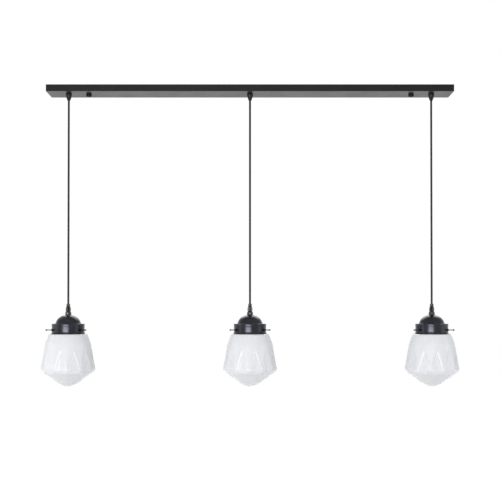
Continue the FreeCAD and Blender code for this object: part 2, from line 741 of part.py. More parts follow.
# ---- lampholder and bulb ----------------------------------------------------
def lampholder():
    """Moulded lampholder, closed at the top round the nipple and open at the bottom."""
    outer = holder_d / 2
    bottom = holder_top_z - holder_length
    bore = nipple_d / 2 + thread_clearance
    roof = shell_top_z + seat_gap
    inner = shell_d / 2 + seat_gap
    return turned([(bore, holder_top_z), (holder_neck_d / 2, holder_top_z, 0.8),
                   (holder_neck_d / 2, holder_top_z - holder_neck_height, 1.5),
                   (outer, holder_top_z - holder_neck_height - holder_shoulder, 5), (outer, bottom, 1.0),
                   (outer - holder_wall, bottom), (inner, bottom + holder_mouth_bevel), (inner, roof),
                   (cord_d / 2 + cord_clearance, roof),
                   (cord_d / 2 + cord_clearance, holder_top_z - holder_neck_height),
                   (bore, holder_top_z - holder_neck_height)])


def lampholder_shell():
    """Screw shell inside the lampholder, closed at the top by its centre contact."""
    outer = shell_d / 2
    inner = outer - shell_wall
    return turned([(0, shell_top_z), (outer, shell_top_z), (outer, shell_top_z - shell_length),
                   (inner, shell_top_z - shell_length), (inner, shell_top_z - shell_wall),
                   (contact_d / 2, shell_top_z - shell_wall),
                   (contact_d / 2, shell_top_z - shell_wall - contact_height),
                   (0, shell_top_z - shell_wall - contact_height)])


def bulb():
    """Screw-cap bulb with a round globe, its stem tangent to the globe."""
    top = shell_top_z - shell_wall - contact_height - seat_gap
    cap = bulb_cap_d / 2
    globe = bulb_globe_d / 2
    centre_z = top - bulb_length + globe
    collar = cap + bulb_collar_stand
    collar_z = top - bulb_cap_length - bulb_collar_height
    rise = collar_z - centre_z
    lean = math.atan2(collar, rise) + math.acos(globe / math.hypot(collar, rise))
    tip_z = top - bulb_tip_height
    return turned([(0, top), (bulb_tip_d / 2, top), (bulb_tip_d / 2, tip_z),
                   (cap - bulb_tip_height, tip_z - bulb_tip_height, 1),
                   (cap, tip_z - 2 * bulb_tip_height, 1), (cap, top - bulb_cap_length),
                   (collar, collar_z, 2), (globe / math.tan(lean / 2), centre_z - globe, globe),
                   (0, centre_z - globe)])


# ---- build ------------------------------------------------------------------
os.makedirs("parts", exist_ok=True)

save(ceiling_bar(), "ceiling_bar")
for side, x in fixing_x.items():
    save(placed(bracket(), x), side + "_bracket")
    save(placed(cap_nut(), x), side + "_cap_nut")
save(Part.makeCompound([placed(fixing_screw(), x) for x in fixing_x.values()]), "fixing_screws")
save(Part.makeCompound([fixing_nut(x) for x in fixing_x.values()]), "fixing_nuts")
save(Part.makeCompound([grip_nut(x) for x in pendant_x.values()]), "grip_nuts")

routes = tail_routes()
save(terminal_block(), "terminal_block")
save(terminal_screws(), "terminal_screws")
save(Part.makeCompound(pole_wires(routes, 0) + [earth_lead()]), "earth_wires")
save(Part.makeCompound(pole_wires(routes, 1)), "neutral_wires")
save(Part.makeCompound(pole_wires(routes, 2)), "live_wires")
save(earth_stud(), "earth_stud")
save(earth_nut(), "earth_nut")

lamp_pieces = {
    "cord_top": cord_bend(),
    "cord": hanging_cord(),
    "cord_clamp": cord_clamp(),
    "clamp_screw": clamp_screw(),
    "nipple": nipple(),
    "gallery": gallery(),
    "lampholder": lampholder(),
    "lampholder_shell": lampholder_shell(),
    "bulb": bulb(),
    "shade": shade(),
}
for mark, angle in thumb_screw_angles.items():
    lamp_pieces["thumb_screw_" + mark] = thumb_screw(angle)

for side, x in pendant_x.items():
    save(placed(cord_grip(), x), side + "_cord_grip")
    tail, tail_length, tightest = tube(routes[side], cord_d)
    filled = tail.Volume / (math.pi * cord_d ** 2 / 4 * tail_length)
    print(side, "cord end inside the bar:", round(tail_length, 1), "mm long, tightest radius",
          round(tightest, 1), "mm, volume over section times length", round(filled, 4))
    save(tail, side + "_cord_tail")
    for piece, shape in lamp_pieces.items():
        save(placed(shape, x), side + "_" + piece)

print("free cord below each grip:", round(grip_mouth_z - clamp_top_z, 1), "mm")
print("lowest point:", round(shoulder_z - tip_drop, 2), "mm")
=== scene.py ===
"""Looks of a linear island pendant: three opal glass lamps on straight cords under a flat black bar."""
import json
import math

import bmesh
import bpy
from bpy.props import FloatProperty, FloatVectorProperty, IntProperty, PointerProperty
from mathutils import Matrix, Vector


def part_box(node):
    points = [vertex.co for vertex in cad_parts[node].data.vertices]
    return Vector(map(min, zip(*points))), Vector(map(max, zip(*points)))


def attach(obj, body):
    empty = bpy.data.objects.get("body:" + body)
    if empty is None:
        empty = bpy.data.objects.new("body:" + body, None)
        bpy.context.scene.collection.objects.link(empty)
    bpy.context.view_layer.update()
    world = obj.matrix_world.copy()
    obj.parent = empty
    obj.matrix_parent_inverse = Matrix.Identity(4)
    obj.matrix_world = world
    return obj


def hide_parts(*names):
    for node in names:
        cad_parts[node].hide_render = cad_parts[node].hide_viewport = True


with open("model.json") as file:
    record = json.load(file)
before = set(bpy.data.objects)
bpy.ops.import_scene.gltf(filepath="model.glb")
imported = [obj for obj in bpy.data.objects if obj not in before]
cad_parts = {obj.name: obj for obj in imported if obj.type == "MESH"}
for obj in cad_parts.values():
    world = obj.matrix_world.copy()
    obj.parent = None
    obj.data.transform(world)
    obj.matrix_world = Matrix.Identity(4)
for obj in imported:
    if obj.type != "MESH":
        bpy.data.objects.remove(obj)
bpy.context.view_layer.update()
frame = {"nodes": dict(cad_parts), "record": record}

bl_info = {
    "name": "Linear Island Pendant",
    "version": (1, 0, 0),
    "blender": (4, 5, 0),
    "location": "View3D > Sidebar > Pendant",
    "description": "Faceted opal glass lamps on black cords under a flat ceiling bar",
    "category": "Object",
}

MM = 0.001
SIDES = ("left", "middle", "right")
SCREW_MARKS = ("a", "b", "c")

# How finely the shapes are divided.
COLUMNS = 18  # columns of vertices in the glass for each facet, in two halves of nine steps
GLASS_STEP = 1.6 * MM
GALLERY_STEPS = 128
BOSS_STEPS = 32
SHANK_STEPS = 20
THREAD_STEPS = 16
KNOB_STEP = 0.8 * MM
FLUTE_DEPTH = 0.06  # share of a knob's radius that a flute takes away


def centre(node):
    """Middle of a node's box."""
    low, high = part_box(node)
    return (low + high) / 2


# Heights and places that the frame gives.
LAMP_X = {side: centre(side + "_cord").x for side in SIDES}
GRIP_MOUTH_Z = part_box("middle_cord_grip")[0].z
CORD_END_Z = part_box("middle_cord")[0].z
CORD_BEND_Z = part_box("middle_cord")[1].z
BAND_BOTTOM_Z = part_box("middle_gallery")[0].z
GLASS_TOP_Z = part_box("middle_shade")[1].z
GLASS_TIP_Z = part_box("middle_shade")[0].z
FACETS_END_Z = GLASS_TIP_Z + 15 * MM  # the cone under this isn't pressed
FACETS_START_Z = GLASS_TOP_Z - 45 * MM  # the wall over this stays in long steps

# The stage, in metres.
LAMPS_MIDDLE = (0, 0, -0.8)
FLOOR_RADIUS = 14.0
FLOOR_GREY = (0.6, 0.6, 0.6, 1)
SENSOR_WIDTH = 36.0  # millimetres
FAR_CLIP = 60.0
SOFT_BOXES = (  # name, place, width, height and the setting that holds its power
    ("key_box", (-1.2, -5.8, -0.7), 3.5, 1.0, "key"),
    ("wide_box", (-1.6, -5.95, -0.7), 5.2, 1.1, "wide"),
    ("left_box", (-8.0, -0.5, -0.6), 6.0, 6.0, "side"),
    ("right_box", (8.0, -1.5, -0.6), 6.0, 6.0, "fill"),
    ("back_box", (0.6, 6.0, 4.4), 8.0, 3.0, "back"),
)


# ---- colours ------------------------------------------------------------------
def linear(code):
    """Linear red, green and blue of an sRGB hex colour."""
    shares = [int(code[i:i + 2], 16) / 255 for i in (1, 3, 5)]
    return [c / 12.92 if c <= 0.04045 else ((c + 0.055) / 1.055) ** 2.4 for c in shares]


def colour(name, code, description):
    """Colour that a user may change."""
    return FloatVectorProperty(name=name, description=description, default=linear(code),
                               subtype="COLOR", min=0.0, max=1.0)


def size(name, millimetres, description):
    """Length that a user may change."""
    return FloatProperty(name=name, description=description, default=millimetres * MM, min=0.0,
                         unit="LENGTH", precision=4)


# ---- sizes and colours a user may change ------------------------------------------
class PendantGlass(bpy.types.PropertyGroup):
    """Sizes of the glass shades"""
    neck: size("Neck", 38.8, "Radius of the neck")
    lip: size("Lip", 2.5, "How far the lip stands out from the neck")
    lip_height: size("Lip height", 4.6, "Height of the lip")
    wall: size("Wall", 3.0, "Thickness of the glass")
    shoulder_drop: size("Shoulder", 18.9, "From the top of the neck down to the shoulder")
    shoulder: size("Shoulder radius", 56.0, "Radius of the shoulder")
    chest: size("Chest radius", 66.7, "Radius where the shoulder's curve ends")
    chest_drop: size("Chest", 27.8, "From the shoulder down to the chest")
    rim: size("Rim radius", 80.6, "Radius of the corner above the cone")
    rim_drop: size("Rim", 108.1, "From the shoulder down to the corner above the cone")
    belly: size("Belly radius", 26.0, "Radius where the cone flattens")
    belly_rise: size("Belly", 7.1, "Height of the flattening above the tip")
    tip: size("Tip radius", 7.5, "Radius of the flat under the tip")
    facets: IntProperty(name="Facets", description="Triangles round the lower wall", default=12, min=3)
    facet_turn: FloatProperty(name="Turn", description="Where the first facet faces",
                              default=math.radians(-78), subtype="ANGLE")
    facet_top_drop: size("Facet tops", 48.0, "From the shoulder down to the tops of the facets")
    facet_base_drop: size("Facet bases", 103.1, "From the shoulder down to the bases of the facets")
    facet_spread: FloatProperty(name="Facet spread",
                                description="Half the angle that a facet's base spans",
                                default=math.radians(11.0), subtype="ANGLE")
    facet_dish: size("Facet dish", 1.6, "How hollow a facet is across its base")
    crease: size("Crease", 1.5, "Depth of the soft groove along a facet's edges")
    crease_width: size("Crease width", 1.6, "Half the width of that groove")
    outer_turn: FloatProperty(name="Outer turn", description="How far the outer glasses sit turned",
                              default=math.radians(11.6), subtype="ANGLE")
    edge_melt: size("Edge melt", 0.35, "How softly the facets run into the wall")


class PendantGallery(bpy.types.PropertyGroup):
    """Sizes of the galleries"""
    sheet: size("Sheet", 1.0, "Thickness of the spun sheet")
    hole: size("Hole", 5.25, "Radius of the hole for the nipple")
    dome: size("Dome radius", 36.5, "Radius of the dome at its foot")
    dome_height: size("Dome height", 26.8, "Height of the dome")
    band: size("Band radius", 48.0, "Radius of the band")
    band_height: size("Band height", 29.8, "Height of the band under the flange")
    lip: size("Step", 0.4, "How far the band's upper part stands out")
    lip_height: size("Step height", 6.0, "Height of the band's upper part")
    flare: size("Flare", 1.7, "How far the bottom edge flares out")
    flare_height: size("Flare height", 4.6, "Height of the flare")
    boss: size("Boss radius", 3.3, "Radius of the boss round each thumb screw")
    boss_stand: size("Boss", 3.4, "How far a boss stands out from the band")


class PendantScrew(bpy.types.PropertyGroup):
    """Sizes of the thumb screws"""
    shank: size("Shank radius", 1.5, "Radius over the thread")
    pitch: size("Pitch", 0.8, "Pitch of the thread")
    knob: size("Knob radius", 2.2, "Radius of the knob")
    knob_length: size("Knob length", 4.6, "Length of the knob")
    flutes: IntProperty(name="Flutes", description="Grooves round the knob", default=16, min=6)


class PendantCord(bpy.types.PropertyGroup):
    """Size of the hanging cords"""
    radius: size("Radius", 3.0, "Radius of the cord")


class PendantColours(bpy.types.PropertyGroup):
    """Colours of the coats, the glass, the cords and the plating"""
    coat: colour("Powder coat", "#151516", "Bar, cord grips, clamps and cap nuts")
    gallery: colour("Gallery", "#303136", "Domed galleries and thumb screws")
    glass: colour("Opal glass", "#eaecf0", "Shades")
    sheath: colour("Cord", "#141415", "Cords")
    nickel: colour("Nickel", "#4a4948", "Clamp screws")
    zinc: colour("Zinc", "#b4b8bc", "Brackets, screws and nuts")


class PendantStage(bpy.types.PropertyGroup):
    """Camera, floor and lamps of the stage"""
    distance: FloatProperty(name="Distance", description="Camera in front of the bar's middle",
                            default=2.641, unit="LENGTH")
    height: FloatProperty(name="Height", description="Camera's height, from the ceiling", default=-0.667,
                          unit="LENGTH")
    tilt: FloatProperty(name="Tilt", description="How far the camera looks up",
                        default=math.radians(0.74), subtype="ANGLE")
    lens: FloatProperty(name="Lens", description="Focal length in millimetres", default=63.98)
    rise: FloatProperty(name="Rise", description="Upward shift, as a share of the picture's width",
                        default=0.10)
    floor_z: FloatProperty(name="Floor", description="Floor's height, from the ceiling",
                           default=-2.5, unit="LENGTH")
    key: FloatProperty(name="Key", description="Power of the key box in front", default=144.0,
                       unit="POWER")
    wide: FloatProperty(name="Key's spread", description="Power of the wide box behind the key box",
                        default=36.0, unit="POWER")
    side: FloatProperty(name="Left side", description="Power of the box on the left", default=120.0,
                        unit="POWER")
    fill: FloatProperty(name="Right side", description="Power of the box on the right", default=110.0,
                        unit="POWER")
    back: FloatProperty(name="Back", description="Power of the box above and behind", default=200.0,
                        unit="POWER")
    level: FloatProperty(name="Surroundings", description="Strength of the surroundings' light",
                         default=0.46)


# ---- materials --------------------------------------------------------------------
def add(tree, kind, wires=None, **settings):
    """Adds a node, sets it up and wires its inputs."""
    made = tree.nodes.new(kind)
    for name, value in settings.items():
        setattr(made, name, value)
    for socket, value in (wires or {}).items():
        if isinstance(value, bpy.types.NodeSocket):
            tree.links.new(value, made.inputs[socket])
        else:
            made.inputs[socket].default_value = value
    return made


def new_material(name):
    """New material and its emptied node tree."""
    material = bpy.data.materials.new(name)
    material.use_nodes = True
    tree = material.node_tree
    tree.nodes.clear()
    return material, tree


def finish_material(tree, **wires):
    """Principled shader, with its values by socket name, on the output."""
    named = {name.replace("_", " "): value for name, value in wires.items()}
    shader = add(tree, "ShaderNodeBsdfPrincipled", named)
    add(tree, "ShaderNodeOutputMaterial", {"Surface": shader.outputs[0]})


def rgba(value):
    """Colour with full alpha."""
    return (*value[:3], 1.0)


def pattern(tree, grain, stretch=(1, 1, 1), detail=2.0):
    """Noise whose grain is a real size, on the object's own coordinates."""
    place = add(tree, "ShaderNodeTexCoord")
    mapped = add(tree, "ShaderNodeMapping", {"Vector": place.outputs["Object"], "Scale": stretch})
    return add(tree, "ShaderNodeTexNoise", {"Vector": mapped.outputs[0], "Scale": 1.0 / grain,
                                            "Detail": detail}).outputs["Fac"]


def between(tree, share, low, high):
    """Noise, most of which lies between 0.3 and 0.7, spread between two numbers."""
    return add(tree, "ShaderNodeMapRange", {"Value": share, "From Min": 0.3, "From Max": 0.7,
                                            "To Min": low, "To Max": high}).outputs[0]


def shade_of(tree, share, one, other):
    """Two colours mixed by noise, each pure at its end of the noise's usual values."""
    ramp = add(tree, "ShaderNodeValToRGB", {"Fac": share})
    for stop, colour_there, place in zip(ramp.color_ramp.elements, (one, other), (0.35, 0.65)):
        stop.color = rgba(colour_there)
        stop.position = place
    return ramp.outputs[0]


def bump(tree, share, depth):
    """Normal from a height pattern, its depth in metres."""
    return add(tree, "ShaderNodeBump", {"Height": share, "Distance": depth, "Strength": 1.0}).outputs[0]


def times(value, factor):
    """Colour made darker or lighter."""
    return [min(1.0, c * factor) for c in value]


def satin_powder_coat(name, base):
    """Baked polyester powder on steel: a soft satin, faintly dimpled and slightly uneven in gloss."""
    material, tree = new_material(name)
    peel = pattern(tree, 2.2 * MM, detail=1.5)
    cloud = pattern(tree, 60 * MM)
    finish_material(tree, Base_Color=shade_of(tree, cloud, times(base, 0.92), times(base, 1.1)),
                    Roughness=between(tree, cloud, 0.30, 0.36), IOR=1.27,
                    Normal=bump(tree, peel, 0.006 * MM))
    return material


def gloss_enamel(name, base):
    """Stoved enamel on a casting: flows out glossier than powder, with a faint ripple."""
    material, tree = new_material(name)
    ripple = pattern(tree, 5 * MM, detail=1.0)
    finish_material(tree, Base_Color=shade_of(tree, ripple, times(base, 0.9), times(base, 1.1)),
                    IOR=1.5, Roughness=between(tree, ripple, 0.24, 0.32),
                    Normal=bump(tree, ripple, 0.03 * MM))
    return material


def spun_black_metal(name, base):
    """Spun steel, plated black: fine rings from the spinning tool stretch its highlight."""
    material, tree = new_material(name)
    rings = pattern(tree, 0.9 * MM, stretch=(0.02, 0.02, 1), detail=3.0)
    cloud = pattern(tree, 25 * MM)
    finish_material(tree, Base_Color=shade_of(tree, cloud, times(base, 0.9), times(base, 1.12)),
                    Metallic=1.0, Roughness=between(tree, rings, 0.20, 0.28),
                    Normal=bump(tree, rings, 0.01 * MM))
    return material


def opal_glass(name, base):
    """Pressed opal glass: milky white all through, under a clear polished skin."""
    material, tree = new_material(name)
    cloud = pattern(tree, 45 * MM, detail=1.0)
    ripple = pattern(tree, 9 * MM, detail=1.0)
    finish_material(tree, Base_Color=shade_of(tree, cloud, times(base, 0.992), base), IOR=1.5,
                    Roughness=between(tree, cloud, 0.25, 0.28), Normal=bump(tree, ripple, 0.02 * MM),
                    Subsurface_Weight=0.5, Subsurface_Radius=(1.0, 0.97, 0.92), Subsurface_Scale=0.0015)
    return material


def extruded_sheath(name, base):
    """Soft PVC cord sheath: extruded, so faint lines run along it, and nearly matt."""
    material, tree = new_material(name)
    lines = pattern(tree, 0.5 * MM, stretch=(1, 1, 0.002))
    finish_material(tree, Base_Color=shade_of(tree, lines, times(base, 0.9), times(base, 1.15)),
                    Roughness=between(tree, lines, 0.42, 0.52), IOR=1.33,
                    Normal=bump(tree, lines, 0.003 * MM))
    return material


def plated_metal(name, base, low, high):
    """Plated steel or brass: bright metal, its gloss a little cloudy."""
    material, tree = new_material(name)
    cloud = pattern(tree, 4 * MM, detail=4.0)
    finish_material(tree, Base_Color=shade_of(tree, cloud, times(base, 0.88), base),
                    Metallic=1.0, Roughness=between(tree, cloud, low, high),
                    Normal=bump(tree, cloud, 0.01 * MM))
    return material


def moulded_plastic(name, base, low, high):
    """Moulded or extruded plastic: even colour, with a fine grain from the tool."""
    material, tree = new_material(name)
    grain = pattern(tree, 0.8 * MM, detail=3.0)
    cloud = pattern(tree, 12 * MM)
    finish_material(tree, Base_Color=shade_of(tree, cloud, times(base, 0.93), base),
                    Roughness=between(tree, cloud, low, high),
                    Normal=bump(tree, grain, 0.015 * MM))
    return material


def striped_insulation(name, base, stripe):
    """Two-colour extruded insulation: green, with a yellow stripe along the top."""
    material, tree = new_material(name)
    place = add(tree, "ShaderNodeNewGeometry")
    parts = add(tree, "ShaderNodeSeparateXYZ", {0: place.outputs["Normal"]})
    upper = add(tree, "ShaderNodeMapRange", {"Value": parts.outputs["Z"],
                                             "From Min": 0.45, "From Max": 0.55})
    mixed = add(tree, "ShaderNodeMix", {"Factor": upper.outputs[0],
                                        "A": rgba(base), "B": rgba(stripe)}, data_type="RGBA")
    grain = pattern(tree, 0.8 * MM)
    finish_material(tree, Base_Color=mixed.outputs["Result"],
                    Roughness=between(tree, grain, 0.35, 0.45))
    return material


# ---- shapes -----------------------------------------------------------------------
def smoothed(points, step=8.0):
    """Points of a (radius, height[, rounding]) outline, its corners as arcs of some degrees a step."""
    flat = [Vector(p[:2]) for p in points]
    line = []
    for i, point in enumerate(points):
        here = flat[i]
        if len(point) < 3 or i in (0, len(points) - 1):
            line.append(here)
            continue
        back = (flat[i - 1] - here).normalized()
        ahead = (flat[i + 1] - here).normalized()
        half = back.angle(ahead) / 2
        middle = here + (back + ahead).normalized() * (point[2] / math.sin(half))
        start = here + back * (point[2] / math.tan(half)) - middle
        turn = (math.pi - 2 * half) * (1 if back.cross(ahead) < 0 else -1)
        count = max(2, math.ceil(math.degrees(abs(turn)) / step))
        line += [middle + Matrix.Rotation(turn * k / count, 2) @ start for k in range(count + 1)]
    return line


def divided(line, low, high, step):
    """The same line with its stretches between two heights cut into short steps."""
    dense = [line[0]]
    for before, after in zip(line, line[1:]):
        lower, upper = min(before.y, after.y), max(before.y, after.y)
        inside = low <= (before.y + after.y) / 2 <= high or lower < low < upper
        count = max(1, math.ceil((after - before).length / step)) if inside else 1
        dense += [before.lerp(after, k / count) for k in range(1, count + 1)]
    return dense


def lathe(bm, line, steps, closed=False):
    """Turns a (radius, height) line about Z into a closed shell."""
    corners = [bm.verts.new((p[0], 0, p[1])) for p in line]
    pairs = list(zip(corners, corners[1:]))
    if closed:
        pairs.append((corners[-1], corners[0]))
    edges = [bm.edges.new(pair) for pair in pairs]
    bmesh.ops.spin(bm, geom=corners + edges, cent=(0, 0, 0), axis=(0, 0, 1), angle=math.tau,
                   steps=steps, use_merge=True)
    bmesh.ops.remove_doubles(bm, verts=bm.verts, dist=1e-6)


def soften(bm, sharp=35.0):
    """Outward faces, smooth but for edges sharper than an angle in degrees."""
    bmesh.ops.recalc_face_normals(bm, faces=bm.faces)
    for face in bm.faces:
        face.smooth = True
    for edge in bm.edges:
        edge.smooth = edge.calc_face_angle(0) < math.radians(sharp)


def finish_piece(bm, name, material, body, replaced, x=0.0, turn=0.0):
    """Object of a finished shape, turned, moved along the bar and riding on its body."""
    mesh = bpy.data.meshes.new(name)
    bm.to_mesh(mesh)
    mesh.transform(Matrix.Translation((x, 0, 0)) @ Matrix.Rotation(turn, 4, "Z"))
    mesh.materials.append(material)
    made = bpy.data.objects.new(name, mesh)
    bpy.context.scene.collection.objects.link(made)
    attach(made, body)
    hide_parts(*replaced)


class PENDANT_OT_cords(bpy.types.Operator):
    """Straight cords from the grips under the bar into the cord clamps"""
    bl_idname = "pendant.cords"
    bl_label = "Cords"

    def execute(self, context):
        sizes = context.scene.pendant_cord
        sheath = extruded_sheath("cord_pvc_sheath", context.scene.pendant_colours.sheath)
        for side in SIDES:
            x = LAMP_X[side]
            route = [(x, 0, GRIP_MOUTH_Z), (x, 0, CORD_BEND_Z), (x, 0, CORD_END_Z)]
            curve = bpy.data.curves.new(side + "_cord_line", "CURVE")
            curve.dimensions = "3D"
            line = curve.splines.new("NURBS")
            line.points.add(len(route) - 1)
            for point, place in zip(line.points, route):
                point.co = (*place, 1.0)
            line.order_u = 3
            line.use_endpoint_u = True
            line.resolution_u = 12
            curve.bevel_depth = sizes.radius
            curve.bevel_resolution = 6
            curve.use_fill_caps = True
            curve.materials.append(sheath)
            cord = bpy.data.objects.new(side + "_hanging_cord", curve)
            context.scene.collection.objects.link(cord)
            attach(cord, side + "_lamp")
            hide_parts(side + "_cord_top", side + "_cord")
        return {"FINISHED"}


def glass_outline(sizes):
    """Outline of the glass before its facets, up the outside and down the inside."""
    shoulder_z = GLASS_TOP_Z - sizes.shoulder_drop
    lip_z = GLASS_TOP_Z - sizes.lip_height
    wall = sizes.wall
    rim_z = shoulder_z - sizes.rim_drop
    belly_z = GLASS_TIP_Z + sizes.belly_rise
    inner = sizes.neck - wall
    return smoothed([
        (0, GLASS_TIP_Z), (sizes.tip, GLASS_TIP_Z, 40 * MM), (sizes.belly, belly_z, 60 * MM),
        (sizes.rim, rim_z, 15 * MM), (sizes.chest, shoulder_z - sizes.chest_drop, 80 * MM),
        (sizes.shoulder, shoulder_z, 5 * MM), (sizes.neck, shoulder_z, 1.5 * MM),
        (sizes.neck, lip_z, 0.8 * MM), (sizes.neck + sizes.lip, lip_z, 1.2 * MM),
        (sizes.neck + sizes.lip, GLASS_TOP_Z, 1.2 * MM), (inner, GLASS_TOP_Z, 0.8 * MM),
        (inner, shoulder_z - wall, 4.5 * MM),
        (sizes.shoulder - 0.7 * wall, shoulder_z - wall, 2 * MM),
        (sizes.chest - wall, shoulder_z - sizes.chest_drop, 77 * MM),
        (sizes.rim - 2.4 * wall, rim_z, 15 * MM),
        (sizes.belly - 0.5 * wall, belly_z + 0.9 * wall, 57 * MM),
        (sizes.tip, GLASS_TIP_Z + wall, 37 * MM), (0, GLASS_TIP_Z + wall)], step=4.0)


class Facets:
    """Radius of the pressed wall at any angle and height: triangles with creased edges, apex up."""

    under_slope = 0.62  # how steeply the facets' planes run inwards under their bases
    hollow_fade = 10 * MM  # how far under a base its hollow reaches
    crease_start = 0.12  # share of a facet's height over which its creases fade in
    crease_end = 0.05  # share of that height, under the base, over which they fade out

    def __init__(self, sizes):
        shoulder_z = GLASS_TOP_Z - sizes.shoulder_drop
        lean = (sizes.rim - sizes.chest) / (sizes.rim_drop - sizes.chest_drop)
        self.sector = math.tau / sizes.facets
        self.turn = sizes.facet_turn
        self.top_z = shoulder_z - sizes.facet_top_drop
        self.base_z = shoulder_z - sizes.facet_base_drop
        self.top_radius = sizes.chest + lean * (sizes.facet_top_drop - sizes.chest_drop)
        self.base_radius = sizes.chest + lean * (sizes.facet_base_drop - sizes.chest_drop)
        self.base_half = self.base_radius * math.cos(sizes.facet_spread)
        self.base_across = self.base_radius * math.sin(sizes.facet_spread)
        self.dish = sizes.facet_dish
        self.crease = sizes.crease
        self.crease_width = sizes.crease_width

    def share(self, height):
        """How far down the facets a height is, from 0 at their tops to 1 at their bases."""
        return (self.top_z - height) / (self.top_z - self.base_z)

    def flat_half(self, height):
        """Half the angle that a facet spans at a height."""
        share = min(1.0, max(0.0, self.share(height)))
        depth = (1 - share) * self.top_radius + share * self.base_half
        return math.atan2(share * self.base_across, depth)

    def groove(self, from_middle, height):
        """Depth of the crease that follows a facet's edge, gone above its top and below its base."""
        share = self.share(height)
        fade_in = min(1.0, max(0.0, share / self.crease_start))
        fade = fade_in * min(1.0, max(0.0, 1 - (share - 1) / self.crease_end))
        away = (abs(from_middle) - self.flat_half(height)) * self.base_radius / self.crease_width
        return self.crease * fade * math.exp(-away * away)

    def radius(self, from_middle, height):
        """Radius at an angle from a facet's middle, or nothing above the facets."""
        share = self.share(height)
        if share <= 0:
            return None
        edge = self.flat_half(height)
        across = min(1.0, abs(from_middle) / max(edge, 1e-6))
        hollow = self.dish * (1 - across ** 2)
        if share >= 1:
            below = self.base_z - height
            hollow *= max(0.0, 1 - below / self.hollow_fade)
            return (self.base_half - self.under_slope * below - hollow) / math.cos(from_middle)
        half = (1 - share) * self.top_radius + share * self.base_half
        if abs(from_middle) <= edge:
            return (half - share * hollow) / math.cos(from_middle)
        wall = (1 - share) * self.top_radius + share * self.base_radius
        rise = math.sin(math.pi / 2 * (abs(from_middle) - edge) / (self.sector / 2 - edge))
        return half / math.cos(edge) + (wall - half / math.cos(edge)) * rise


def melted(one, other, melt):
    """Smaller of two radii, with a soft corner where they are alike."""
    overlap = max(0.0, melt - abs(one - other)) / melt
    return min(one, other) - overlap * overlap * melt / 4


def press_facets(bm, sizes):
    """Presses the facets into the lathed wall, with columns of vertices gathered at their edges."""
    facets = Facets(sizes)
    half_columns = COLUMNS // 2
    least_edge = 0.11 * facets.sector  # leaves the columns some room at a facet's top
    step = sizes.crease_width / facets.base_radius
    for vert in bm.verts:
        x, y, height = vert.co
        blank = math.hypot(x, y)
        if blank < sizes.tip:
            continue
        angle = math.atan2(y, x) - facets.turn
        number = round(angle / facets.sector)
        column = (angle - number * facets.sector) / facets.sector * COLUMNS
        edge = max(facets.flat_half(height), least_edge)
        # Nine steps from a facet's middle to its border, four of them across the crease.
        marks = [(edge - 2 * step) * k / 4 for k in range(5)]
        marks += [edge - step, edge, edge + step, edge + 2 * step, facets.sector / 2]
        place = min(half_columns, round(abs(column)))
        from_middle = math.copysign(marks[place], column)
        pressed = facets.radius(from_middle, height) if height > FACETS_END_Z else None
        radius = blank
        if pressed is not None:
            radius = melted(blank, pressed, sizes.edge_melt) - facets.groove(from_middle, height)
        around = number * facets.sector + from_middle + facets.turn
        vert.co = (math.cos(around) * radius, math.sin(around) * radius, height)


class PENDANT_OT_shades(bpy.types.Operator):
    """Opal glass shades with pressed facets"""
    bl_idname = "pendant.shades"
    bl_label = "Glass shades"

    def execute(self, context):
        sizes = context.scene.pendant_glass
        glass = opal_glass("pressed_opal_glass", context.scene.pendant_colours.glass)
        outline = divided(glass_outline(sizes), FACETS_END_Z, FACETS_START_Z, GLASS_STEP)
        bm = bmesh.new()
        lathe(bm, outline, COLUMNS * sizes.facets)
        press_facets(bm, sizes)
        soften(bm, 60.0)
        for side in SIDES:
            outer = abs(LAMP_X[side]) > MM
            turn = -math.copysign(sizes.outer_turn, LAMP_X[side]) if outer else 0.0
            finish_piece(bm, side + "_glass", glass, side + "_lamp",
                         [side + "_shade"], LAMP_X[side], turn)
        bm.free()
        return {"FINISHED"}


def screw_angle(mark):
    """Direction in which a thumb screw of the middle lamp points."""
    middle = centre("middle_thumb_screw_" + mark)
    return math.atan2(middle.y, middle.x)


def pointed(bm, verts, angle, height):
    """Turns what was made along Z so that it points out from the lamp's axis at an angle and height."""
    turn = Matrix.Rotation(angle, 4, "Z") @ Matrix.Rotation(math.pi / 2, 4, "Y")
    bmesh.ops.transform(bm, matrix=Matrix.Translation((0, 0, height)) @ turn, verts=verts)


